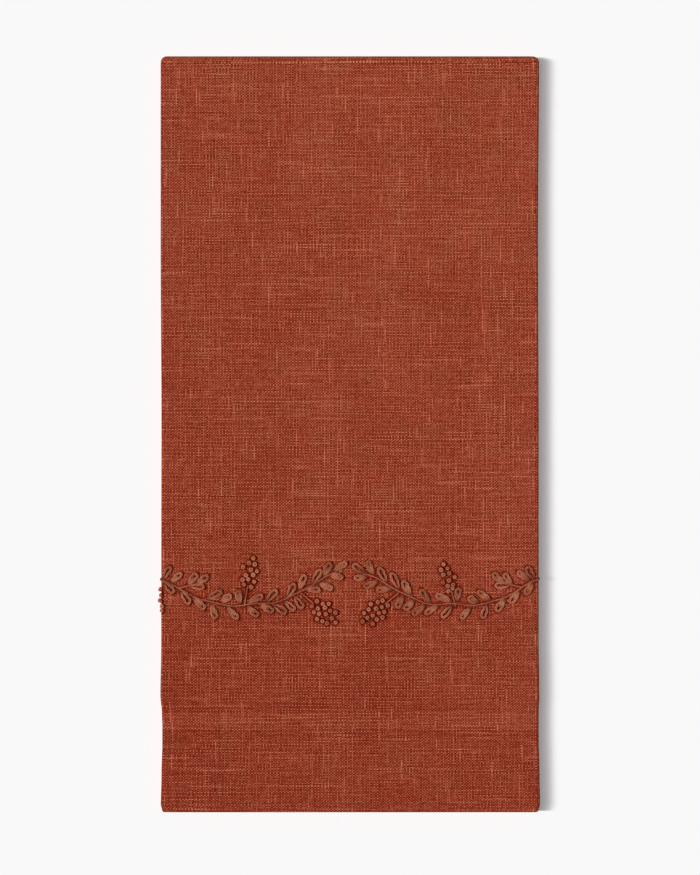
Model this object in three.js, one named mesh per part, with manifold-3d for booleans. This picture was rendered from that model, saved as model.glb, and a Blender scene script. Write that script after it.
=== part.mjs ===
// A hemmed linen towel, folded in thirds along its length and then once across, with a garland of leaves
// and berries embroidered above the hem. Millimetres, +Z up. The origin is on the surface, under the middle
// of the folded towel: X runs across it, the closed fold is at +Y and the hemmed, open end at -Y.
import * as THREE from 'three';
import { mergeVertices } from 'three/addons/utils/BufferGeometryUtils.js';
import Module from 'manifold-3d';

const wasm = await Module();
wasm.setup();

// Driving dimensions: the finished cloth, and the packet that it folds to.
const CLOTH = { width: 500, length: 700, thickness: 1.0 };
const FOLDED = { width: 175, length: 350 };
const LAYER_GAP = 0.3;
const INNER_FLAP = 152;

// The hem at each short end is turned under; its tucked-in edge shows as a low, flat ridge.
const HEM = { depth: 45, ridgeWidth: 7, ridgeHeight: 0.25, slope: 1.2 };
const CORNER_RADIUS = { open: 2.2, closed: 3.2 };

// How far the side folds of the upper half stray from straight, outwards positive.
const EDGE_DRIFT = [
  { fromHem: 0, left: 0.0, right: 0.7 },
  { fromHem: 18, left: -0.4, right: 0.4 },
  { fromHem: 36, left: -0.9, right: 0.0 },
  { fromHem: 46, left: -0.6, right: 0.0 },
  { fromHem: 54, left: 0.1, right: 0.3 },
  { fromHem: 80, left: -0.3, right: 0.0 },
  { fromHem: 130, left: -0.3, right: 0.0 },
  { fromHem: 175, left: -0.4, right: 0.0 },
  { fromHem: 265, left: 0.0, right: -0.3 },
  { fromHem: 340, left: 0.0, right: 0.2 },
];

// Worked-out sizes of the folds. A layer's place is taken at the middle of its thickness.
const HALF_THICK = CLOTH.thickness / 2;
const PITCH = CLOTH.thickness + LAYER_GAP;
const INNER_BEND = PITCH / 2;
const OUTER_BEND = PITCH;
const END_BEND = 2.5 * PITCH;
const STACK = 2 * (END_BEND + HALF_THICK);
const HALF_WIDTH = FOLDED.width / 2;
const PANEL_LEFT = -HALF_WIDTH + INNER_BEND + HALF_THICK;
const PANEL_RIGHT = HALF_WIDTH - OUTER_BEND - HALF_THICK;
const CLOTH_LEFT = PANEL_LEFT - Math.PI * INNER_BEND - INNER_FLAP;
const CLOTH_RIGHT = CLOTH_LEFT + CLOTH.width;
const HEM_END_Y = -FOLDED.length / 2;
const END_BEND_Y = FOLDED.length / 2 - END_BEND - HALF_THICK;
const UPPER_LENGTH = END_BEND_Y - HEM_END_Y;
const BEND_LENGTH = Math.PI * END_BEND;
const END_BEND_Z = STACK / 2;

const LINEN = new THREE.MeshStandardMaterial({ color: 0x93432f, roughness: 0.92, metalness: 0 });
const THREAD = new THREE.MeshStandardMaterial({ color: 0x9a5c45, roughness: 0.8, metalness: 0 });

// Evenly spaced values from one to the other, without the last.
function spread(from, to, count) {
  return Array.from({ length: count }, (_, i) => from + ((to - from) * i) / count);
}

function named(name, geometry, material) {
  const mesh = new THREE.Mesh(geometry, material);
  mesh.name = name;
  return mesh;
}

// The cloth, folded as it is by hand: a flat piece whose two side thirds turn under, then bent in half.

// Folds the side thirds under. u is measured across the flat cloth from the middle of the show panel, and
// rise is the height above the middle of the cloth. Gives the place across the packet and the depth below
// the show panel.
function foldInThirds(u, rise) {
  const left = u < 0;
  const start = left ? PANEL_LEFT : PANEL_RIGHT;
  const bend = left ? INNER_BEND : OUTER_BEND;
  const outwards = left ? -1 : 1;
  const past = (u - start) * outwards;
  if (past <= 0) return { x: u, depth: -rise };
  const turn = Math.min(past / bend, Math.PI);
  const beyond = past - turn * bend;
  return {
    x: start + outwards * ((bend + rise) * Math.sin(turn) - beyond),
    depth: bend - (bend + rise) * Math.cos(turn),
  };
}

// Bends the packet of thirds in half across. v is measured along the cloth from the hem of the upper half.
function foldInHalf(x, v, depth) {
  const radius = END_BEND - depth;
  const turn = THREE.MathUtils.clamp((v - UPPER_LENGTH) / END_BEND, 0, Math.PI);
  const upper = Math.min(v, UPPER_LENGTH);
  const lower = Math.max(v - UPPER_LENGTH - BEND_LENGTH, 0);
  return new THREE.Vector3(
    x,
    HEM_END_Y + upper - lower + radius * Math.sin(turn),
    END_BEND_Z + radius * Math.cos(turn),
  );
}

// The drift of a side fold at a distance from the hem, read between the rows of the table.
function drift(side, fromHem) {
  const after = EDGE_DRIFT.findIndex((row) => row.fromHem > fromHem);
  if (after < 0) return EDGE_DRIFT.at(-1)[side];
  const [a, b] = [EDGE_DRIFT[after - 1], EDGE_DRIFT[after]];
  return THREE.MathUtils.mapLinear(fromHem, a.fromHem, b.fromHem, a[side], b[side]);
}

// How far a rounded corner draws the side fold in, at a distance from the end of the packet.
function cornerInset(radius, fromEnd) {
  const short = THREE.MathUtils.clamp(radius - fromEnd, 0, radius);
  return radius - Math.sqrt(radius ** 2 - short ** 2);
}

// The ridge over the tucked-in edge of the hem, on the face that shows.
function hemRidge(v) {
  const inwards = Math.min(v - (HEM.depth - HEM.ridgeWidth), HEM.depth - v);
  return HEM.ridgeHeight * THREE.MathUtils.clamp(inwards / HEM.slope, 0, 1);
}

function foldCloth(u, v, rise) {
  const thick = rise > 0 ? rise + hemRidge(v) : rise;
  const { x, depth } = foldInThirds(u, thick);
  const folded = foldInHalf(x, v, depth);
  const stray = drift(x < 0 ? 'left' : 'right', Math.min(v, UPPER_LENGTH))
    - cornerInset(CORNER_RADIUS.open, Math.min(v, CLOTH.length - v))
    - cornerInset(CORNER_RADIUS.closed, FOLDED.length / 2 - folded.y);
  folded.x *= 1 + stray / HALF_WIDTH;
  return folded;
}

function towelCloth() {
  const across = [
    ...spread(CLOTH_LEFT, PANEL_LEFT - Math.PI * INNER_BEND, 3),
    ...spread(PANEL_LEFT - Math.PI * INNER_BEND, PANEL_LEFT, 6),
    ...spread(PANEL_LEFT, PANEL_RIGHT, 6),
    ...spread(PANEL_RIGHT, PANEL_RIGHT + Math.PI * OUTER_BEND, 8),
    ...spread(PANEL_RIGHT + Math.PI * OUTER_BEND, CLOTH_RIGHT, 3),
    CLOTH_RIGHT,
  ];
  const ridgeFoot = HEM.depth - HEM.ridgeWidth;
  const along = [
    ...spread(0, CORNER_RADIUS.open, 3),
    ...spread(CORNER_RADIUS.open, ridgeFoot, 2),
    ridgeFoot,
    ridgeFoot + HEM.slope,
    HEM.depth - HEM.slope,
    HEM.depth,
    ...EDGE_DRIFT.map((row) => row.fromHem).filter((at) => at > HEM.depth),
    ...spread(UPPER_LENGTH, UPPER_LENGTH + BEND_LENGTH, 10),
    ...spread(UPPER_LENGTH + BEND_LENGTH, CLOTH.length - CORNER_RADIUS.open, 5),
    ...spread(CLOTH.length - CORNER_RADIUS.open, CLOTH.length, 3),
    CLOTH.length,
  ];
  const flat = new THREE.BoxGeometry(1, 1, 1, across.length - 1, along.length - 1, 1);
  const place = flat.attributes.position;
  for (let i = 0; i < place.count; i++) {
    const column = Math.round((place.getX(i) + 0.5) * (across.length - 1));
    const row = Math.round((place.getY(i) + 0.5) * (along.length - 1));
    const folded = foldCloth(across[column], along[row], Math.sign(place.getZ(i)) * HALF_THICK);
    place.setXYZ(i, folded.x, folded.y, folded.z);
  }
  return named('cloth', flat, LINEN);
}

// The embroidery lies on the show face, a hair above the cloth. It is a garland of two vines, which come in
// round the side folds and wave towards the middle, with a bunch of berries standing in the hollow of each
// and one hanging from its last rise.
const STITCH_GAP = 0.3;
const GARLAND = { pitch: 100, lowest: 96, climb: 15.5, sharpness: 1.6, tipFromMiddle: 6 };
const STEM = { width: 1.1, sides: 6, stepLength: 1.3 };
const LEAF = { width: 3.2, height: 1.1, sides: 8, rings: 4 };
const BERRY = { width: 2.8, height: 1.7, across: 2.45, along: 2.15, sides: 8, rings: 5 };

// A leaf stands at a distance along its vine, which is across the panel from the side fold, and its heading
// is over the way that the vine grows. Both vines have the same leaves.
const VINES = [
  { name: 'vine_left', fold: PANEL_LEFT, bend: INNER_BEND, grows: 1, shootAt: 7, seed: 2 },
  { name: 'vine_right', fold: PANEL_RIGHT, bend: OUTER_BEND, grows: -1, shootAt: 6, seed: 5 },
];
const LEAVES = [
  { at: 0, heading: 60, length: 6.8 },
  { at: 3, heading: 44, length: 7.8 },
  { at: 20, heading: 30, length: 8.0 },
  { at: 27.5, heading: 38, length: 7.4 },
  { at: 35, heading: 96, length: 7.2 },
  { at: 38.5, heading: 26, length: 8.4 },
  { at: 48, heading: 53, length: 7.8 },
  { at: 57, heading: 57, length: 8.0 },
  { at: 63.5, heading: 70, length: 7.2 },
  { at: 68.5, heading: 60, length: 8.0 },
  { at: 74.5, heading: 63, length: 7.4 },
  { at: 78.5, heading: 30, length: 7.6 },
  { at: 0.7, heading: -51, length: 7.0 },
  { at: 7.5, heading: -57, length: 7.4 },
  { at: 14, heading: -50, length: 7.8 },
  { at: 22, heading: -72, length: 7.4 },
  { at: 29.5, heading: -52, length: 7.8 },
  { at: 38.5, heading: -46, length: 7.4 },
  { at: 44.5, heading: -30, length: 7.6 },
  { at: 50.5, heading: -35, length: 7.4 },
  { at: 56, heading: -42, length: 7.2 },
  { at: 60.5, heading: -56, length: 7.4 },
  { at: 66, heading: -2, length: 7.4 },
  { at: 72, heading: -18, length: 7.4 },
  { at: 77, heading: -9, length: 7.2 },
];
const SHOOT = {
  heading: 14,
  length: 8.5,
  leaves: [
    { back: 0.4, open: 20, length: 7.6 },
    { back: 4.0, open: 42, length: 7.4 },
    { back: 3.4, open: -18, length: 7.8 },
  ],
};

// Each bunch starts at the foot of its stalk, and has its berries in rows along the heading.
const BUNCHES = [
  { name: 'bunch_left_standing', u: -48.6, v: 97.0, heading: 80, stalk: 8.0, rows: [2, 3, 2, 3, 2, 1] },
  { name: 'bunch_left_hanging', u: -21.5, v: 100.6, heading: -40, stalk: 6.5, rows: [2, 3, 4, 3, 3, 1] },
  { name: 'bunch_right_hanging', u: 21.5, v: 100.6, heading: -140, stalk: 6.5, rows: [2, 3, 4, 3, 3, 1] },
  { name: 'bunch_right_standing', u: 48.6, v: 97.0, heading: 106, stalk: 6.0, rows: [2, 2, 3, 2, 2, 1] },
  { name: 'bunch_left_edge', u: -87.4, v: 103, heading: -90, stalk: 0, rows: [1, 1, 1, 1, 1] },
];

// A steady unevenness from -1 to 1, as a hand leaves it.
const uneven = (n) => Math.sin(12.9 * n + 0.7);

// A point on or above the show face of the upper half, and the way out of the cloth there.
function onShowFace(u, v, height) {
  const rise = HALF_THICK + height;
  const { x, depth } = foldInThirds(u, rise);
  const foot = foldInThirds(u, 0);
  const out = new THREE.Vector3(x - foot.x, 0, foot.depth - depth).normalize();
  return { place: foldInHalf(x, v, depth), out };
}

function solidFrom(geometry) {
  const bare = geometry.clone().deleteAttribute('normal').deleteAttribute('uv');
  const merged = mergeVertices(bare, 1e-4);
  return new wasm.Manifold(new wasm.Mesh({
    numProp: 3,
    vertProperties: merged.attributes.position.array,
    triVerts: new Uint32Array(merged.index.array),
  }));
}

function joined(geometries) {
  const whole = geometries.map(solidFrom).reduce((a, b) => a.add(b)).getMesh();
  return new THREE.BufferGeometry()
    .setAttribute('position', new THREE.BufferAttribute(whole.vertProperties, 3))
    .setIndex(new THREE.BufferAttribute(whole.triVerts, 1));
}

// The height of the garland's line above the hem end, at a place across the panel.
function garlandHeight(u) {
  const wave = 0.5 + 0.5 * Math.cos((2 * Math.PI * u) / GARLAND.pitch);
  return GARLAND.lowest + GARLAND.climb * wave ** GARLAND.sharpness;
}

// A rounded stitch that lies flat on the cloth, with its length along the heading in degrees.
function domeStitch(u, v, heading, size, sides, rings) {
  const { place, out } = onShowFace(u, v, STITCH_GAP + size.height / 2);
  const turn = new THREE.Quaternion().setFromUnitVectors(new THREE.Vector3(0, 0, 1), out);
  return new THREE.SphereGeometry(0.5, sides, rings)
    .rotateX(Math.PI / 2)
    .scale(size.length, size.width, size.height)
    .rotateZ(THREE.MathUtils.degToRad(heading))
    .applyQuaternion(turn)
    .translate(...place);
}

// A line of stem stitch through places on the cloth.
function stemLine(flatPoints) {
  const height = STITCH_GAP + STEM.width / 2;
  const route = new THREE.CatmullRomCurve3(flatPoints.map(([u, v]) => onShowFace(u, v, height).place));
  const section = new THREE.Shape(
    spread(0, 2 * Math.PI, STEM.sides).map((turn) =>
      new THREE.Vector2(Math.cos(turn), Math.sin(turn)).multiplyScalar(STEM.width / 2)),
  );
  const steps = Math.max(2, Math.round(route.getLength() / STEM.stepLength));
  return new THREE.ExtrudeGeometry(section, { extrudePath: route, steps });
}

// A vine's stem comes round the side fold, from a quarter turn down, and ends short of the middle.
function vineStem({ fold, bend, grows }) {
  const tip = -grows * GARLAND.tipFromMiddle;
  const count = Math.round(Math.abs(tip - fold) / STEM.stepLength);
  const quarter = (Math.PI / 2) * bend;
  const stations = [
    ...spread(fold - grows * quarter, fold, 3),
    ...spread(fold, tip, count),
    tip,
  ];
  return stemLine(stations.map((u) => [u, garlandHeight(u)]));
}

// A leaf that grows from a place on the cloth; none is made where it would hang over a side fold.
function leaf(u, v, heading, length) {
  const aim = THREE.MathUtils.degToRad(heading);
  const middle = { u: u + (Math.cos(aim) * length) / 2, v: v + (Math.sin(aim) * length) / 2 };
  const overLeft = middle.u - LEAF.width / 2 < PANEL_LEFT;
  const overRight = middle.u + LEAF.width / 2 > PANEL_RIGHT;
  if (overLeft || overRight) return [];
  return [domeStitch(middle.u, middle.v, heading, { ...LEAF, length }, LEAF.sides, LEAF.rings)];
}

// The leaves of a vine, each a little off its heading and length.
function vineLeaves({ fold, grows, seed }) {
  return LEAVES.flatMap(({ at, heading, length }) => {
    const u = fold + grows * at;
    const n = seed * 31 + at;
    const aim = heading + 5 * uneven(n);
    return leaf(u, garlandHeight(u), grows > 0 ? aim : 180 - aim, length * (1 + 0.06 * uneven(2 * n)));
  });
}

// A side shoot with three leaves at its end.
function sideShoot({ fold, grows, shootAt }) {
  const u = fold + grows * shootAt;
  const towards = (heading) => (grows > 0 ? heading : 180 - heading);
  const aim = THREE.MathUtils.degToRad(towards(SHOOT.heading));
  const at = (along) => [u + Math.cos(aim) * along, garlandHeight(u) + Math.sin(aim) * along];
  return [
    stemLine([at(0), at(SHOOT.length / 2), at(SHOOT.length)]),
    ...SHOOT.leaves.flatMap(({ back, open, length }) =>
      leaf(...at(SHOOT.length - back), towards(SHOOT.heading + open), length)),
  ];
}

function vine(row) {
  return named(row.name, joined([vineStem(row), ...vineLeaves(row), ...sideShoot(row)]), THREAD);
}

// A bunch of knots in rows, each resting in the hollows of the row before, on a stalk that runs under them.
function bunch({ name, u, v, heading, stalk, rows }) {
  const aim = THREE.MathUtils.degToRad(heading);
  const at = (along, across) => [
    u + Math.cos(aim) * along - Math.sin(aim) * across,
    v + Math.sin(aim) * along + Math.cos(aim) * across,
  ];
  const size = { length: BERRY.width, width: BERRY.width, height: BERRY.height };
  const reach = stalk + BERRY.along * (rows.length - 1);
  const pieces = [stemLine([at(0, 0), at(reach / 2, 0), at(reach, 0)])];
  rows.forEach((count, row) => {
    for (let i = 0; i < count; i++) {
      const place = at(stalk + BERRY.along * row, BERRY.across * (i - (count - 1) / 2));
      pieces.push(domeStitch(...place, heading, size, BERRY.sides, BERRY.rings));
    }
  });
  return named(name, joined(pieces), THREAD);
}

const towel = new THREE.Group();
towel.add(towelCloth(), ...VINES.map(vine), ...BUNCHES.map(bunch));

export default towel;
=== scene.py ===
import math
import random

import bmesh
import bpy
from mathutils import Matrix, Vector, noise
from mathutils.bvhtree import BVHTree


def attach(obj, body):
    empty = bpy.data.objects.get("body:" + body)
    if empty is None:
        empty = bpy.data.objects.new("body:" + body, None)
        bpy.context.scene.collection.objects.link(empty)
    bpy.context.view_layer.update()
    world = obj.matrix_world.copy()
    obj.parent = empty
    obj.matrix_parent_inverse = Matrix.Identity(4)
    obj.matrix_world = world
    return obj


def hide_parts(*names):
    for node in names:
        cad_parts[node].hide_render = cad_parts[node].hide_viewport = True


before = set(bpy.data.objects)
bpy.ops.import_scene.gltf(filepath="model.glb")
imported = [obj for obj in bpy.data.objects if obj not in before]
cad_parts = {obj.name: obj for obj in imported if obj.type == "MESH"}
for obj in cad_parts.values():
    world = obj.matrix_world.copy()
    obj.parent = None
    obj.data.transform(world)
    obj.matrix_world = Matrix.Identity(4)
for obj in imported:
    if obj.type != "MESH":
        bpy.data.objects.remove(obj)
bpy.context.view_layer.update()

# The cloth: one length of terracotta plain-weave linen, with a hem turned under at each short end. It is
# ironed flat, its side thirds are folded under the embroidered middle one, and the packet is then folded
# in half, with the closed fold at the far end.
MM = 0.001
FOLDED_WIDTH = 175.0
FOLDED_LENGTH = 350.0
CLOTH_WIDTH = 500.0
CLOTH_LENGTH = 700.0
INNER_FLAP = 152.0
LAYER_PITCH = 1.3
FACE_RISE = 0.5
LINEN_THICK = 0.55
HEM_DEPTH = 45.0
HEM_PLY_GAP = 0.05
TUCK_WIDTH = 7.0
TUCK_LIFT = 0.16
TUCK_FADE = 8.0

INNER_BEND = LAYER_PITCH / 2
OUTER_BEND = LAYER_PITCH
END_BEND = 2.5 * LAYER_PITCH
STACK_HEIGHT = 2 * (END_BEND + FACE_RISE)
HALF_WIDTH = FOLDED_WIDTH / 2
HEM_END_Y = -FOLDED_LENGTH / 2
PANEL_LEFT = -HALF_WIDTH + INNER_BEND + FACE_RISE
PANEL_RIGHT = HALF_WIDTH - OUTER_BEND - FACE_RISE
CLOTH_LEFT = PANEL_LEFT - math.pi * INNER_BEND - INNER_FLAP
CLOTH_RIGHT = CLOTH_LEFT + CLOTH_WIDTH
END_BEND_Y = FOLDED_LENGTH / 2 - END_BEND - FACE_RISE
UPPER_LENGTH = END_BEND_Y - HEM_END_Y
BEND_LENGTH = math.pi * END_BEND

# How far each side fold of the upper half strays outwards, by the distance from the hem.
EDGE_DRIFT = (
    # from hem, left, right
    (0, 0.0, 0.7),
    (18, -0.4, 0.4),
    (36, -0.9, 0.0),
    (46, -0.6, 0.0),
    (54, 0.1, 0.3),
    (80, -0.3, 0.0),
    (130, -0.3, 0.0),
    (175, -0.4, 0.0),
    (265, 0.0, -0.3),
    (350, 0.0, 0.2),
)
LOWER_DRIFT = -0.5
UPPER_FROM = 0.41 * STACK_HEIGHT
UPPER_TO = 0.59 * STACK_HEIGHT
LONG_ROLL = 0.30
SHORT_ROLL = 0.10
OPEN_CORNER = 2.4
CLOSED_CORNER = 3.2
PRESS = 0.6


def ramp(value, low, high):
    """0 below low, 1 above high, and a soft rise between them."""
    t = min(max((value - low) / (high - low), 0.0), 1.0)
    return t * t * (3 - 2 * t)


def spread(start, stop, count):
    """Evenly spaced values from start to stop, without the last."""
    return [start + (stop - start) * k / count for k in range(count)]


def pressed(turn):
    """The sine and cosine of a turn, squared off as an ironed fold is."""
    return math.sin(turn) ** PRESS, math.copysign(abs(math.cos(turn)) ** PRESS, math.cos(turn))


def fold_in_thirds(u, rise, reckoned_at=0.0):
    """Folds the side thirds under: the place across the packet, and the depth under the show panel."""
    outwards = -1 if u < 0 else 1
    start, bend = (PANEL_LEFT, INNER_BEND) if u < 0 else (PANEL_RIGHT, OUTER_BEND)
    past = (u - start) * outwards
    if past <= 0:
        return u, -rise
    turn = min(past / (bend + reckoned_at), math.pi)
    beyond = past - turn * (bend + reckoned_at)
    out, up = pressed(turn)
    return start + outwards * ((bend + rise) * out - beyond), bend - (bend + rise) * up


def fold_in_half(v, depth):
    """Bends the packet over at the far end: the place along it, and the height over the table."""
    radius = END_BEND - depth
    turn = min(max((v - UPPER_LENGTH) / END_BEND, 0.0), math.pi)
    upper = min(v, UPPER_LENGTH)
    lower = max(v - UPPER_LENGTH - BEND_LENGTH, 0.0)
    out, up = pressed(turn)
    return HEM_END_Y + upper - lower + radius * out, STACK_HEIGHT / 2 + radius * up


def drift(side, from_hem):
    for (a, *drift_a), (b, *drift_b) in zip(EDGE_DRIFT, EDGE_DRIFT[1:]):
        if from_hem <= b:
            t = ramp(from_hem, a, b)
            return drift_a[side] * (1 - t) + drift_b[side] * t
    return EDGE_DRIFT[-1][1 + side]


def corner_inset(radius, from_end):
    short = min(max(radius - from_end, 0.0), radius)
    return radius - math.sqrt(radius**2 - short**2)


def lie(x, y, z):
    """The unevenness of a cloth folded by hand: straying edges, round corners and a soft roll."""
    upper = ramp(z, UPPER_FROM, UPPER_TO)
    stray = upper * drift(0 if x < 0 else 1, y - HEM_END_Y) + (1 - upper) * LOWER_DRIFT
    stray -= corner_inset(OPEN_CORNER, y - HEM_END_Y)
    stray -= corner_inset(CLOSED_CORNER, FOLDED_LENGTH / 2 - y)
    roll = LONG_ROLL * noise.noise((x / 60, y / 75, 3.1)) + SHORT_ROLL * noise.noise((x / 19, y / 23, 8.4))
    z += roll * z / STACK_HEIGHT
    return Vector((x * (1 + stray / HALF_WIDTH), y, z)) * MM


def tuck_lift(u, v):
    """The raw edge tucked into the hem lifts the show panel a little."""
    tuck_from = HEM_DEPTH - TUCK_WIDTH
    band = ramp(v, tuck_from - 1.5, tuck_from + 1) - ramp(v, HEM_DEPTH - 1, HEM_DEPTH + 1.5)
    band *= ramp(u, PANEL_LEFT, PANEL_LEFT + TUCK_FADE)
    band *= ramp(-u, -PANEL_RIGHT, -PANEL_RIGHT + TUCK_FADE)
    return TUCK_LIFT * band


across = (
    spread(CLOTH_LEFT, PANEL_LEFT - math.pi * INNER_BEND, 8)
    + spread(PANEL_LEFT - math.pi * INNER_BEND, PANEL_LEFT, 10)
    + spread(PANEL_LEFT, PANEL_RIGHT, 90)
    + spread(PANEL_RIGHT, PANEL_RIGHT + math.pi * OUTER_BEND, 12)
    + spread(PANEL_RIGHT + math.pi * OUTER_BEND, CLOTH_RIGHT, 8)
    + [CLOTH_RIGHT]
)

# Along the cloth, a station is its place in the packet, its rise in the layer, and its place on the flat
# cloth: up the inside of one hem, round its edge, over the whole length, and back under the other hem.
face_rise = FACE_RISE - LINEN_THICK / 2
hem_turn = (LINEN_THICK + HEM_PLY_GAP) / 2
hem_rise = face_rise - 2 * hem_turn
turn_v = LINEN_THICK / 2 + hem_turn
turn_length = math.pi * hem_turn
hem_half = [(v, hem_rise, 2 * turn_v - turn_length - v) for v in spread(HEM_DEPTH, turn_v, 8)]
for angle in spread(0.0, math.pi, 6):
    hem_half.append((
        turn_v - hem_turn * math.sin(angle),
        face_rise - hem_turn - hem_turn * math.cos(angle),
        turn_v - turn_length + hem_turn * angle,
    ))
# The rows of the face lie closest at the tuck of the hem and where the cloth is embroidered.
face = [
    *spread(turn_v, 36, 12),
    *spread(36, 48, 12),
    *spread(48, 85, 15),
    *spread(85, 125, 26),
    *spread(125, UPPER_LENGTH, 56),
    *spread(UPPER_LENGTH, UPPER_LENGTH + BEND_LENGTH, 20),
    *spread(UPPER_LENGTH + BEND_LENGTH, CLOTH_LENGTH - turn_v, 70),
    CLOTH_LENGTH - turn_v,
]
along = (
    hem_half
    + [(v, face_rise, v) for v in face]
    + [(CLOTH_LENGTH - v, rise, CLOTH_LENGTH - s) for v, rise, s in reversed(hem_half)]
)

bm = bmesh.new()
columns, rows = len(across) - 1, len(along) - 1
bmesh.ops.create_grid(bm, x_segments=columns, y_segments=rows, size=0.5)
weave_uv = bm.loops.layers.uv.new("weave")
flat_place = {}
for vert in bm.verts:
    u = across[round((vert.co.x + 0.5) * columns)]
    v, rise, s = along[round((vert.co.y + 0.5) * rows)]
    flat_place[vert] = (u * MM, s * MM)
    x, depth = fold_in_thirds(u, rise + (tuck_lift(u, v) if rise == face_rise else 0.0))
    y, z = fold_in_half(v, depth)
    vert.co = lie(x, y, z)
for bm_face in bm.faces:
    bm_face.smooth = True
    for loop in bm_face.loops:
        loop[weave_uv].uv = flat_place[loop.vert]
cloth_mesh = bpy.data.meshes.new("towel_cloth")
bm.to_mesh(cloth_mesh)
bm.free()
cloth = bpy.data.objects.new("towel_cloth", cloth_mesh)
bpy.context.scene.collection.objects.link(cloth)
ply = cloth.modifiers.new("ply", "SOLIDIFY")
ply.thickness = LINEN_THICK * MM
ply.offset = 0.0
thick_mesh = bpy.data.meshes.new_from_object(cloth.evaluated_get(bpy.context.evaluated_depsgraph_get()))
cloth.modifiers.clear()
cloth.data = thick_mesh
thick_mesh.set_sharp_from_angle(angle=math.radians(50))

# The show face is meshed more finely where it is embroidered, for the painted shade round the stitches.
WORKED_FROM, WORKED_TO = 85.0, 126.0
bm = bmesh.new()
bm.from_mesh(thick_mesh)
worked_edges = set()
for bm_face in bm.faces:
    _, y, z = bm_face.calc_center_median() / MM
    on_show_face = z > STACK_HEIGHT - 0.5 and bm_face.normal.z > 0.9
    if on_show_face and WORKED_FROM < y - HEM_END_Y < WORKED_TO:
        worked_edges.update(bm_face.edges)
bmesh.ops.subdivide_edges(bm, edges=list(worked_edges), cuts=2, use_grid_fill=True)
bm.to_mesh(thick_mesh)
bm.free()


def math_node(tree, operation, *values):
    """A Math node on sockets or plain numbers."""
    node = tree.nodes.new("ShaderNodeMath")
    node.operation = operation
    for socket, value in zip(node.inputs, values):
        if isinstance(value, bpy.types.NodeSocket):
            tree.links.new(value, socket)
        else:
            socket.default_value = value
    return node.outputs[0]


def soft_step(tree, value, low, high):
    """A socket that is 0 below low, 1 above high, and rises softly between them."""
    node = tree.nodes.new("ShaderNodeMapRange")
    node.interpolation_type = "SMOOTHSTEP"
    tree.links.new(value, node.inputs["Value"])
    node.inputs["From Min"].default_value = low
    node.inputs["From Max"].default_value = high
    return node.outputs["Result"]


def noise_at(tree, x, y, detail=1.0):
    """Noise over two sockets, a value near 0.5."""
    point = tree.nodes.new("ShaderNodeCombineXYZ")
    tree.links.new(x, point.inputs[0])
    tree.links.new(y, point.inputs[1])
    node = tree.nodes.new("ShaderNodeTexNoise")
    node.noise_dimensions = "2D"
    node.inputs["Scale"].default_value = 1.0
    node.inputs["Detail"].default_value = detail
    tree.links.new(point.outputs[0], node.inputs["Vector"])
    return node.outputs["Fac"]


def mix_colour(tree, factor, a, b):
    node = tree.nodes.new("ShaderNodeMix")
    node.data_type = "RGBA"
    for socket, value in ((node.inputs[0], factor), (node.inputs[6], a), (node.inputs[7], b)):
        if isinstance(value, bpy.types.NodeSocket):
            tree.links.new(value, socket)
        else:
            socket.default_value = value
    return node.outputs[2]


# Linen yarn is spun unevenly: it swells into pale slubs, and thins so that gaps open beside it, painted
# dark as shade. The weft floats are painted a little lighter than the warp, for the light they catch, so
# that the crossings show as a fine check.
WARP_PITCH = 0.742
WEFT_PITCH = 0.622
# The darkest yarn colour is painted shade, for the gaps between the yarns.
YARN_COLOURS = (
    # brightness, colour
    (0.0, (0.110, 0.0025, 0.0004, 1)),
    (0.5, (0.262, 0.0340, 0.0128, 1)),
    (1.0, (0.560, 0.1760, 0.0990, 1)),
)
RED_TINT = (1.06, 0.88, 0.93, 1)
BROWN_TINT = (0.94, 1.12, 1.07, 1)
USUAL_BRIGHTNESS = 0.475

linen = bpy.data.materials.new("terracotta_linen")
linen.use_nodes = True
tree = linen.node_tree
shader = tree.nodes["Principled BSDF"]
uv_node = tree.nodes.new("ShaderNodeUVMap")
uv_node.uv_map = "weave"
split = tree.nodes.new("ShaderNodeSeparateXYZ")
tree.links.new(uv_node.outputs[0], split.inputs[0])
u_mm = math_node(tree, "MULTIPLY", split.outputs[0], 1 / MM)
v_mm = math_node(tree, "MULTIPLY", split.outputs[1], 1 / MM)


def scaled(value, size, shift=0.0):
    return math_node(tree, "MULTIPLY_ADD", value, 1 / size, shift)


def weigh(*parts):
    """The sum of values, each times its weight and counted from its usual level."""
    total = -sum(weight * level for _, weight, level in parts)
    for value, weight, _ in parts:
        total = math_node(tree, "MULTIPLY_ADD", value, weight, total)
    return total


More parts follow.
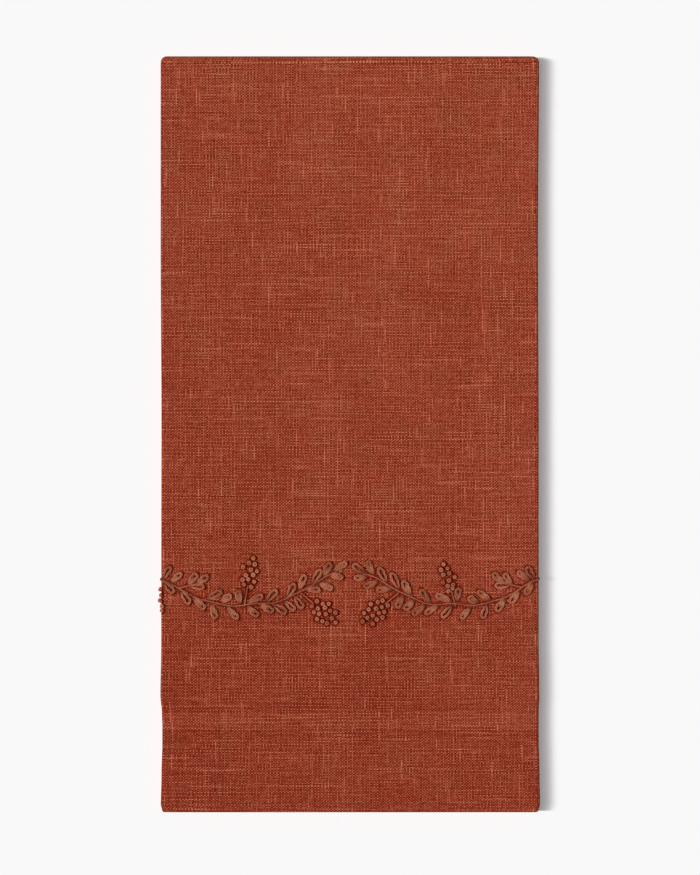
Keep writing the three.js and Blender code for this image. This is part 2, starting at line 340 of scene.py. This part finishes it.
def yarn_system(position, pitch, lengthwise, shift, slub_length):
    """One set of yarns: their running count, then a yarn's number, shade, slub, round profile and wave."""
    wander = noise_at(tree, scaled(position, 14, shift), scaled(lengthwise, 90, shift))
    laid = math_node(tree, "MULTIPLY_ADD", position, 1 / pitch, math_node(tree, "MULTIPLY", wander, 2.0))
    number = math_node(tree, "FLOOR", laid)
    offset = math_node(tree, "SUBTRACT", math_node(tree, "SUBTRACT", laid, number), 0.5)
    odd = math_node(tree, "MULTIPLY_ADD", math_node(tree, "FLOORED_MODULO", number, 2.0), 2.0, -1.0)
    long_shade = noise_at(tree, scaled(number, 4, shift), scaled(lengthwise, 40))
    unlike = math_node(tree, "MULTIPLY", odd, math_node(tree, "SUBTRACT", long_shade, 0.5))
    short_shade = noise_at(tree, scaled(number, 1 / 5.13, 20 + shift), scaled(lengthwise, 5), 2.0)
    shade = weigh((unlike, 0.80, 0.0), (short_shade, 0.32, 0.5))
    swell = noise_at(tree, scaled(number, 1 / 3.77, 40 + shift), scaled(lengthwise, slub_length))
    slub = soft_step(tree, swell, 0.66, 0.78)
    width = weigh((shade, 0.7, 0.0), (slub, 0.2, 0.0))
    width = math_node(tree, "ADD", width, 0.92)
    across_yarn = math_node(tree, "DIVIDE", math_node(tree, "MULTIPLY", offset, 2.0), width)
    round_off = math_node(tree, "SUBTRACT", 1.0, math_node(tree, "MULTIPLY", across_yarn, across_yarn))
    profile = math_node(tree, "SQRT", math_node(tree, "MAXIMUM", round_off, 0.0))
    wave = math_node(tree, "COSINE", math_node(tree, "MULTIPLY", offset, math.pi))
    slub = math_node(tree, "MULTIPLY", slub, math_node(tree, "POWER", profile, 3.0))
    return laid, number, shade, slub, profile, wave


warp = yarn_system(u_mm, WARP_PITCH, v_mm, 11.0, 18.0)
weft = yarn_system(v_mm, WEFT_PITCH, u_mm, 57.0, 38.0)
warp_laid, warp_number, warp_shade, warp_slub, warp_profile, warp_wave = warp
weft_laid, weft_number, weft_shade, weft_slub, weft_profile, weft_wave = weft
crossing = math_node(tree, "FLOORED_MODULO", math_node(tree, "ADD", warp_number, weft_number), 2.0)
over = math_node(tree, "MULTIPLY_ADD", crossing, -2.0, 1.0)
warp_lift = math_node(tree, "MULTIPLY_ADD", math_node(tree, "MULTIPLY", over, weft_wave), 0.45, 0.55)
weft_lift = math_node(tree, "MULTIPLY_ADD", math_node(tree, "MULTIPLY", over, warp_wave), -0.45, 0.55)
warp_height = math_node(tree, "MULTIPLY", warp_profile, warp_lift)
weft_height = math_node(tree, "MULTIPLY", weft_profile, weft_lift)
height = math_node(tree, "MAXIMUM", warp_height, weft_height)
weft_on_top = math_node(tree, "GREATER_THAN", weft_height, warp_height)
# Each crossing is painted darker along one diagonal, as the shade on crossings that all lean one way with
# the yarns' twist.
slant = math_node(tree, "SUBTRACT", warp_laid, weft_laid)
painted_lean_shade = math_node(tree, "COSINE", math_node(tree, "MULTIPLY", slant, math.pi))


def of_top_yarn(warp_value, weft_value):
    picked = tree.nodes.new("ShaderNodeMix")
    sockets = picked.inputs[0], picked.inputs[2], picked.inputs[3]
    for socket, value in zip(sockets, (weft_on_top, warp_value, weft_value)):
        tree.links.new(value, socket)
    return picked.outputs[0]


def hem_band(starts, ends):
    """1 along a band across the cloth, with a soft edge where it starts and where it ends."""
    return math_node(tree, "SUBTRACT", soft_step(tree, v_mm, *starts), soft_step(tree, v_mm, *ends))


crossing_place = tree.nodes.new("ShaderNodeCombineXYZ")
tree.links.new(warp_number, crossing_place.inputs[0])
tree.links.new(weft_number, crossing_place.inputs[1])
crossing_shade = tree.nodes.new("ShaderNodeTexWhiteNoise")
crossing_shade.noise_dimensions = "2D"
tree.links.new(crossing_place.outputs[0], crossing_shade.inputs["Vector"])
cloudy = noise_at(tree, scaled(u_mm, 30), scaled(v_mm, 36), 3.0)
fibre = noise_at(tree, scaled(u_mm, 0.5), scaled(v_mm, 0.5), 1.0)
tuck = hem_band((37.8, 39.2), (45.4, 46.8))
# A broad band round the tucked edge is painted a little darker, as shade beside its ridge.
painted_shade_beside_tuck = hem_band((33.0, 37.0), (47.5, 51.0))
above_garland = soft_step(tree, v_mm, 75.0, 110.0)
stitch_shade = tree.nodes.new("ShaderNodeAttribute")
stitch_shade.attribute_name = "stitch_shade"
brightness = weigh(
    # painted shade: the lower the yarn surface, the darker its colour, as shade in the gaps
    (height, 0.95, 0.66),
    # painted highlight: the weft floats are painted lighter
    (weft_on_top, 0.22, 0.5),
    # painted shade along one diagonal of each crossing
    (painted_lean_shade, -0.065, 0.0),
    (of_top_yarn(warp_shade, weft_shade), 0.95, 0.0),
    (of_top_yarn(warp_slub, weft_slub), 0.5, 0.0),
    (crossing_shade.outputs["Value"], 0.22, 0.5),
    (cloudy, 0.16, 0.5),
    (fibre, 0.8, 0.5),
    (tuck, 0.09, 0.0),
    # painted shade beside the tuck
    (painted_shade_beside_tuck, -0.03, 0.0),
    (above_garland, 0.022, 1.0),
    # painted shade round the stitches
    (stitch_shade.outputs["Fac"], -0.36, 0.0),
    (u_mm, 0.0002, 0.0),
    (v_mm, 0.0002, 175.0),
)
brightness = math_node(tree, "ADD", brightness, USUAL_BRIGHTNESS)
dye = tree.nodes.new("ShaderNodeValToRGB")
dye.color_ramp.elements.new(0.5)
for element, (at, colour) in zip(dye.color_ramp.elements, YARN_COLOURS):
    element.position = at
    element.color = colour
tree.links.new(brightness, dye.inputs[0])
faded = noise_at(tree, scaled(u_mm, 13, 5.0), scaled(v_mm, 15, 5.0), 3.0)
tint = mix_colour(tree, faded, RED_TINT, BROWN_TINT)
dyed = mix_colour(tree, 1.0, dye.outputs["Color"], tint)
dyed.node.blend_type = "MULTIPLY"
tree.links.new(dyed, shader.inputs["Base Color"])
shader.inputs["Roughness"].default_value = 0.9
shader.inputs["Specular IOR Level"].default_value = 0.0
relief = tree.nodes.new("ShaderNodeBump")
relief.inputs["Strength"].default_value = 0.55
relief.inputs["Distance"].default_value = 0.22 * MM
tree.links.new(height, relief.inputs["Height"])
tree.links.new(relief.outputs[0], shader.inputs["Normal"])
cloth.data.materials.clear()
cloth.data.materials.append(linen)
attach(cloth, "root")
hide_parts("cloth")

# The vines: stems in stem stitch and leaves in detached chain stitch, worked in dusty terracotta floss.
# They come in round the side folds and grow in a wave towards the middle of the panel. Each strand of the
# floss goes down through the linen at the ends of its stitch.
GARLAND_PITCH = 100.0
GARLAND_LOWEST = 96.0
GARLAND_CLIMB = 15.5
GARLAND_SHARPNESS = 1.6
UNSTEADY_HAND = (
    # reach, wavelength over 2 pi, start in radians
    (0.36, 2.9, 4.2),
    (0.26, 4.7, 3.9),
)
ROUND_FOLD = 2.6
TIP_FROM_MIDDLE = 6.0
STRAND_RADIUS = 0.25
STRAND_STEP = 0.36
STEM_BULGE = 0.48
STEM_ROOT = 0.12
STEM_SLANT = 0.12
LEAF_HALF_WIDTH = 1.1
TIE_LENGTH = 1.7
TIE_HEIGHT = 1.25
FILL_START = 0.8
FILL_HEIGHT = 0.86
FILLED_SHARE = 0.7
LEAF_ROOT = 0.1
VINES = (
    # node, side fold, the way it grows, where its side shoot stands
    ("vine_left", PANEL_LEFT, 1, 7.0),
    ("vine_right", PANEL_RIGHT, -1, 6.0),
)
LEAVES = (
    # distance from the side fold, heading over the way the vine grows, length
    (0.0, 60, 6.8),
    (3.0, 44, 7.8),
    (20.0, 30, 8.0),
    (26.0, 36, 6.4),
    (36.0, 98, 7.2),
    (38.5, 26, 8.4),
    (48.0, 53, 7.8),
    (57.0, 57, 8.0),
    (63.0, 68, 8.6),
    (68.5, 60, 8.6),
    (74.5, 63, 7.4),
    (78.5, 30, 7.6),
    (0.7, -51, 7.0),
    (7.5, -57, 7.4),
    (14.0, -50, 7.8),
    (22.0, -72, 7.4),
    (29.5, -52, 7.8),
    (38.5, -46, 7.4),
    (44.5, -30, 7.6),
    (50.5, -35, 7.4),
    (56.0, -42, 7.2),
    (60.5, -56, 7.4),
    (66.0, -2, 7.4),
    (72.0, -18, 7.4),
    (77.0, -9, 7.2),
)
SHOOT_HEADING = 14.0
SHOOT_LENGTH = 8.5
SHOOT_LEAVES = (
    # distance back from the end of the shoot, heading over it, length
    (0.4, 20, 7.6),
    (4.0, 42, 7.4),
    (3.4, -18, 7.8),
)

hand = random.Random(41)
linen_points = [vert.co for vert in thick_mesh.vertices]
linen_surface = BVHTree.FromPolygons(linen_points, [polygon.vertices for polygon in thick_mesh.polygons])


def seat(u, v, rise):
    """A point above the show face, at its place on the flat cloth."""
    x, depth = fold_in_thirds(u, FACE_RISE + rise + tuck_lift(u, v), FACE_RISE)
    y, z = fold_in_half(v, depth)
    return lie(x, y, z)


def lay_floss(curve, route, strands, wide, high, twist=7.0, pinch=0.0, place=seat):
    """Lays twisted strands along a route of (across, along, height) points on the flat cloth."""
    points = [Vector(p) for p in route]
    lengths = [0.0]
    for a, b in zip(points, points[1:]):
        lengths.append(lengths[-1] + (b - a).length)
    count = max(6, round(lengths[-1] / STRAND_STEP))
    first_turn = hand.uniform(0, 2 * math.pi)
    even = []
    k = 0
    for i in range(count + 1):
        at = lengths[-1] * i / count
        while k < len(points) - 2 and lengths[k + 1] < at:
            k += 1
        t = (at - lengths[k]) / max(lengths[k + 1] - lengths[k], 1e-9)
        even.append(points[k].lerp(points[k + 1], t))
    for strand in range(strands):
        laid = []
        for i, point in enumerate(even):
            ahead = even[min(i + 1, count)] - even[max(i - 1, 0)]
            side = Vector((-ahead.y, ahead.x, 0.0))
            side = side.normalized() if side.length > 1e-6 else Vector((1, 0, 0))
            turn = first_turn + 2 * math.pi * (strand / strands + lengths[-1] * i / count / twist)
            gather = 1 - pinch * abs(2 * i / count - 1) ** 3
            offset = side * (wide * gather * math.cos(turn))
            offset.z += high * math.sin(turn)
            laid.append(place(*(point + offset)))
        spline = curve.splines.new("POLY")
        spline.points.add(len(laid) - 1)
        spline.points.foreach_set("co", [c for p in laid for c in (*p, 1.0)])
        spline.use_smooth = True


def new_floss(name):
    curve = bpy.data.curves.new(name, "CURVE")
    curve.dimensions = "3D"
    curve.bevel_depth = STRAND_RADIUS * MM
    curve.bevel_resolution = 1
    curve.use_fill_caps = True
    return curve


def finish_floss(curve, node):
    """Makes the strands one mesh piece in place of its node, and notes each point's painted shade: low by
    the linen and on the strands' sides.
    """
    holder = bpy.data.objects.new("strands", curve)
    bpy.context.scene.collection.objects.link(holder)
    mesh = bpy.data.meshes.new_from_object(holder.evaluated_get(bpy.context.evaluated_depsgraph_get()))
    bpy.data.objects.remove(holder)
    mesh.name = node + "_stitches"
    mesh.materials.clear()
    mesh.materials.append(floss)
    mesh.polygons.foreach_set("use_smooth", [True] * len(mesh.polygons))
    # How far each point is painted lit rather than in shade, from its height over the linen and the way it
    # faces.
    painted_light_openness = mesh.attributes.new("painted_light_openness", "FLOAT", "POINT")
    for vert, noted in zip(mesh.vertices, painted_light_openness.data):
        foot, out, _, _ = linen_surface.find_nearest(vert.co)
        lift = (vert.co - foot).dot(out) / MM
        noted.value = ramp(lift, 0.05, 1.0) * ramp(vert.normal.dot(out), 0.0, 1.0)
    piece = bpy.data.objects.new(node + "_stitches", mesh)
    bpy.context.scene.collection.objects.link(piece)
    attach(piece, "root")
    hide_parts(node)
    return piece


def turned(u, v, heading, forward, sideways):
    aim = math.radians(heading)
    return (
        u + math.cos(aim) * forward - math.sin(aim) * sideways,
        v + math.sin(aim) * forward + math.cos(aim) * sideways,
    )


def garland_height(u):
    """The height of the stem over the hem end: a wave, sewn by hand and so a little unsteady."""
    wave = 0.5 + 0.5 * math.cos(2 * math.pi * u / GARLAND_PITCH)
    unsteady = sum(reach * math.sin(u / length + start) for reach, length, start in UNSTEADY_HAND)
    return GARLAND_LOWEST + GARLAND_CLIMB * wave**GARLAND_SHARPNESS + unsteady


def stem_stitches(curve, line, stitch=4.4):
    """Stem stitch along a line of flat points: each stitch starts beside the middle of the one before."""
    points = [Vector((*p, 0.0)) for p in line]
    lengths = [0.0]
    for a, b in zip(points, points[1:]):
        lengths.append(lengths[-1] + (b - a).length)

    def on_line(at):
        at = min(max(at, 0.0), lengths[-1])
        k = max(i for i in range(len(points) - 1) if lengths[i] <= at)
        t = (at - lengths[k]) / (lengths[k + 1] - lengths[k])
        way = (points[k + 1] - points[k]).normalized()
        return points[k].lerp(points[k + 1], t), Vector((-way.y, way.x, 0.0))

    start = -stitch / 2
    while start < lengths[-1] - stitch / 3:
        long = stitch * hand.uniform(0.92, 1.1)
        route = []
        for t in spread(0.0, 1.0, 8) + [1.0]:
            middle, side = on_line(start + long * t)
            up = STEM_BULGE * math.sin(math.pi * t) ** 0.5 - STEM_ROOT
            route.append(middle + side * (STEM_SLANT - 2 * STEM_SLANT * t) + Vector((0, 0, up)))
        lay_floss(curve, route, strands=2, twist=4.5, wide=0.18, high=0.12)
        start += stitch / 2


def chain_leaf(curve, u, v, heading, length):
    """A detached chain stitch: a loop tied down at its tip, and in most leaves a straight stitch inside."""
    half_width = LEAF_HALF_WIDTH * hand.uniform(0.86, 1.12)
    bow = hand.uniform(-0.3, 0.3)
    loop = []
    for i in range(41):
        turn = 2 * math.pi * i / 40
        t = (1 - math.cos(turn)) / 2
        sideways = math.copysign(2.1 * half_width * t**0.8 * (1 - t) ** 0.38, math.sin(turn))
        up = -0.2 + 0.84 * min(1.0, 3.0 * t) + 0.26 * math.sin(math.pi * t)
        sideways += bow * math.sin(math.pi * t)
        loop.append((*turned(u, v, heading, 0.3 + (length - 1.0) * t, sideways), up))
    lay_floss(curve, loop, strands=3, twist=7.5, wide=0.40, high=0.26, pinch=0.4)
    tie = []
    for t in spread(0.0, 1.0, 8) + [1.0]:
        up = -LEAF_ROOT + TIE_HEIGHT * math.sin(math.pi * t)
        tie.append((*turned(u, v, heading, length - TIE_LENGTH + TIE_LENGTH * t, 0.14 - 0.28 * t), up))
    lay_floss(curve, tie, strands=2, wide=0.18, high=0.12)
    if hand.random() < FILLED_SHARE:
        reach = length * hand.uniform(0.62, 0.82)
        fill = []
        for t in spread(0.0, 1.0, 10) + [1.0]:
            bulge = math.sin(math.pi * t)
            up = FILL_HEIGHT * bulge**0.5 - LEAF_ROOT
            fill.append((*turned(u, v, heading, FILL_START + (reach - FILL_START) * t, bow * bulge), up))
        lay_floss(curve, fill, strands=3, twist=7.5, wide=0.38, high=0.18)


# The darkest floss colour is painted shade, on the strands' sides and where they lie low by the linen.
PAINTED_SHADE_FLOSS = (0.105, 0.017, 0.007, 1)
DEEP_FLOSS = (0.370, 0.098, 0.044, 1)
PALE_FLOSS = (0.590, 0.203, 0.108, 1)
floss = bpy.data.materials.new("dusty_terracotta_floss")
floss.use_nodes = True
tree = floss.node_tree
shader = tree.nodes["Principled BSDF"]
place_node = tree.nodes.new("ShaderNodeTexCoord")
tones = tree.nodes.new("ShaderNodeTexNoise")
tones.inputs["Scale"].default_value = 170.0
tones.inputs["Detail"].default_value = 2.0
tree.links.new(place_node.outputs["Object"], tones.inputs["Vector"])
fibres = tree.nodes.new("ShaderNodeTexNoise")
fibres.inputs["Scale"].default_value = 5200.0
fibres.inputs["Detail"].default_value = 2.0
tree.links.new(place_node.outputs["Object"], fibres.inputs["Vector"])
tone = weigh((tones.outputs["Fac"], 1.0, 0.0), (fibres.outputs["Fac"], 0.5, 0.5))
floss_colour = mix_colour(tree, soft_step(tree, tone, 0.3, 0.7), DEEP_FLOSS, PALE_FLOSS)
# painted shade: points low by the linen and on the strands' sides take the darkest floss colour
painted_light_node = tree.nodes.new("ShaderNodeAttribute")
painted_light_node.attribute_name = "painted_light_openness"
floss_colour = mix_colour(tree, painted_light_node.outputs["Fac"], PAINTED_SHADE_FLOSS, floss_colour)
tree.links.new(floss_colour, shader.inputs["Base Color"])
shader.inputs["Roughness"].default_value = 0.62
shader.inputs["Specular IOR Level"].default_value = 0.15
relief = tree.nodes.new("ShaderNodeBump")
relief.inputs["Strength"].default_value = 0.35
relief.inputs["Distance"].default_value = 0.06 * MM
tree.links.new(fibres.outputs["Fac"], relief.inputs["Height"])
tree.links.new(relief.outputs[0], shader.inputs["Normal"])

stitched = []
for node, fold, grows, shoot_at in VINES:
    strands = new_floss(node)
    reach = abs(fold) - TIP_FROM_MIDDLE
    stations = [fold + grows * at for at in spread(-ROUND_FOLD, reach, 90) + [reach]]
    stem_stitches(strands, [(u, garland_height(u)) for u in stations])
    for at, heading, length in LEAVES:
        u = fold + grows * (at + hand.uniform(-0.4, 0.4))
        foot = garland_height(u) + math.copysign(hand.uniform(0.4, 0.9), heading)
        aim = heading + hand.uniform(-5, 5)
        chain_leaf(strands, u, foot, aim if grows > 0 else 180 - aim, length * hand.uniform(0.94, 1.06))

    shoot_u = fold + grows * shoot_at
    shoot_v = garland_height(shoot_u)
    shoot_aim = 90 - grows * (90 - SHOOT_HEADING)
    steps = spread(0.0, SHOOT_LENGTH, 6) + [SHOOT_LENGTH]
    stem_stitches(strands, [turned(shoot_u, shoot_v, shoot_aim, at, 0.0) for at in steps], 3.6)
    for back, open_by, length in SHOOT_LEAVES:
        foot = turned(shoot_u, shoot_v, shoot_aim, SHOOT_LENGTH - back, 0.0)
        aim = SHOOT_HEADING + open_by + hand.uniform(-6, 6)
        chain_leaf(strands, *foot, 90 - grows * (90 - aim), length * hand.uniform(0.93, 1.08))
    stitched.append(finish_floss(strands, node))

# The berries: bunches of wound knots in the same floss, on short stalks. Two bunches stand in the hollows
# of the vines, two hang under their last rise, and the edge of another comes round the left fold.
KNOT_RADIUS = 0.66
KNOT_ACROSS = 3.0
KNOT_ALONG = 2.55
KNOT_STRAY = 0.6
STALK_ROOT = 1.6
BUNCHES = (
    # node, foot across, foot along, heading, stalk, knots in each row
    ("bunch_left_standing", -48.6, 97.0, 80.0, 8.0, (2, 3, 2, 3, 2, 1)),
    ("bunch_left_hanging", -21.5, 100.6, -40.0, 6.5, (2, 3, 4, 3, 3, 1)),
    ("bunch_right_hanging", 21.5, 100.6, -140.0, 6.5, (2, 3, 4, 3, 3, 1)),
    ("bunch_right_standing", 48.6, 97.0, 106.0, 6.0, (2, 2, 3, 2, 2, 1)),
    ("bunch_left_edge", -87.1, 103.0, -90.0, 0.0, (1, 1, 1, 1, 1)),
)


def wound_knot(curve, u, v):
    """A knot of two turns round the needle, the end drawn down through its middle."""
    foot = seat(u, v, 0.0)
    out = (seat(u, v, 1.0) - foot).normalized()
    along_cloth = Vector((0, 1, 0))
    across_cloth = along_cloth.cross(out).normalized()
    size = hand.uniform(0.9, 1.12)
    tilt = hand.uniform(-0.2, 0.2), hand.uniform(-0.2, 0.2)

    def beside(a, b, h):
        step = across_cloth * (a + tilt[0] * h) + along_cloth * (b + tilt[1] * h) + out * h
        return foot + step * (MM * size)

    first = hand.uniform(0, 2 * math.pi)
    turns = 2 * math.pi * hand.uniform(1.9, 2.4)
    route = []
    for t in spread(0.0, 1.0, 33) + [1.0]:
        radius = KNOT_RADIUS * (1.1 - 0.18 * t)
        turn = first + turns * t
        route.append((radius * math.cos(turn), radius * math.sin(turn), 0.25 + 0.85 * t))
    for t in spread(0.0, 1.0, 6)[1:] + [1.0]:
        radius = KNOT_RADIUS * 0.92 * (1 - t)
        turn = first + turns + 0.8 * t
        up = 1.1 + 0.2 * math.sin(math.pi * t) - 0.9 * t
        route.append((radius * math.cos(turn), radius * math.sin(turn), up))
    lay_floss(curve, route, strands=3, twist=3.6, wide=0.22, high=0.20, place=beside)


for node, foot_u, foot_v, heading, stalk, row_counts in BUNCHES:
    strands = new_floss(node)
    if stalk:
        steps = spread(-STALK_ROOT, stalk, 6) + [stalk]
        stem_stitches(strands, [turned(foot_u, foot_v, heading, at, 0.0) for at in steps], 3.8)
    for row, count in enumerate(row_counts):
        for i in range(count):
            forward = stalk + KNOT_ALONG * row + hand.uniform(-KNOT_STRAY, KNOT_STRAY)
            sideways = KNOT_ACROSS * (i - (count - 1) / 2) + hand.uniform(-KNOT_STRAY, KNOT_STRAY)
            wound_knot(strands, *turned(foot_u, foot_v, heading, forward, sideways))
    stitched.append(finish_floss(strands, node))

# The linen round each stitch is painted in shade, deepest between the knots.
STITCH_SHADE_FULL = 0.25
STITCH_SHADE_REACH = 1.1
KNOT_SHADE = 1.5
points, faces, painted_shade_weights = [], [], []
for piece in stitched:
    faces += [[len(points) + k for k in polygon.vertices] for polygon in piece.data.polygons]
    points += [vert.co for vert in piece.data.vertices]
    painted_shade_weights += [KNOT_SHADE if piece.name.startswith("bunch") else 1.0] * len(piece.data.polygons)
stitch_surface = BVHTree.FromPolygons(points, faces)
shade = thick_mesh.attributes.new("stitch_shade", "FLOAT", "POINT")
for vert, noted in zip(thick_mesh.vertices, shade.data):
    _, _, nearest, distance = stitch_surface.find_nearest(vert.co, STITCH_SHADE_REACH * MM)
    if distance is not None:
        noted.value = painted_shade_weights[nearest] * (1 - ramp(distance / MM, STITCH_SHADE_FULL, STITCH_SHADE_REACH))

# The table and the light: a plain white top, a long soft light from the left, which throws the shadow along
# the right side of the towel, a weaker light from straight above and a little from the room all round.
FLOOR_WHITE = 0.90
TABLE_DROP = 0.2
PAGE_LEVEL = 0.947
bm = bmesh.new()
bmesh.ops.create_grid(bm, x_segments=1, y_segments=1, size=8.0)
floor_mesh = bpy.data.meshes.new("table_top")
bm.to_mesh(floor_mesh)
bm.free()
floor = bpy.data.objects.new("table_top", floor_mesh)
floor_mesh.transform(Matrix.Translation((0, 0, -TABLE_DROP * MM)))
bpy.context.scene.collection.objects.link(floor)
paper = bpy.data.materials.new("white_table")
paper.use_nodes = True
shader = paper.node_tree.nodes["Principled BSDF"]
shader.inputs["Base Color"].default_value = (FLOOR_WHITE, FLOOR_WHITE, FLOOR_WHITE, 1)
shader.inputs["Roughness"].default_value = 1.0
shader.inputs["Specular IOR Level"].default_value = 0.0
floor_mesh.materials.append(paper)

STRIP_LIGHT = (
    # elevation in degrees, share of the light on the table
    (90.0, 0.28),
    (74.0, 0.06),
    (64.0, 0.07),
    (57.5, 0.09),
    (52.5, 0.11),
    (48.5, 0.12),
    (45.0, 0.10),
    (41.5, 0.08),
    (38.0, 0.04),
)
STRIP_SPREAD = 4.0
ROOM_SHARE = 0.05
for elevation, share in STRIP_LIGHT:
    lamp = bpy.data.lights.new("strip", "SUN")
    lamp.angle = math.radians(STRIP_SPREAD)
    lamp.energy = share * PAGE_LEVEL * math.pi / FLOOR_WHITE / math.sin(math.radians(elevation))
    lamp_object = bpy.data.objects.new("strip", lamp)
    lamp_object.rotation_euler = (0.0, -math.radians(90.0 - elevation), 0.0)
    bpy.context.scene.collection.objects.link(lamp_object)
room = bpy.data.worlds.new("room")
room.use_nodes = True
background = room.node_tree.nodes["Background"]
background.inputs["Color"].default_value = (1, 1, 1, 1)
background.inputs["Strength"].default_value = ROOM_SHARE * PAGE_LEVEL / FLOOR_WHITE
bpy.context.scene.world = room
bpy.context.scene.view_settings.view_transform = "Standard"
bpy.context.scene.cycles.use_denoising = True
bpy.context.scene.cycles.denoising_input_passes = "RGB_ALBEDO_NORMAL"
bpy.context.scene.cycles.denoising_prefilter = "NONE"

# The camera looks straight down with a long lens, so that the sides of the towel stay straight and even,
# and it frames the towel as the photograph does.
PICTURE_HEIGHT = 404.7
PICTURE_MIDDLE = (0.15, -1.6)
LENS = 150.0
SENSOR = 36.0
camera = bpy.data.cameras.new("overhead")
camera.lens = LENS
camera.sensor_width = SENSOR
camera.clip_start = 0.05
camera.clip_end = 50.0
camera_object = bpy.data.objects.new("overhead", camera)
camera_height = STACK_HEIGHT + PICTURE_HEIGHT * LENS / SENSOR
camera_object.location = Vector((*PICTURE_MIDDLE, camera_height)) * MM
bpy.context.scene.collection.objects.link(camera_object)
bpy.context.scene.camera = camera_object
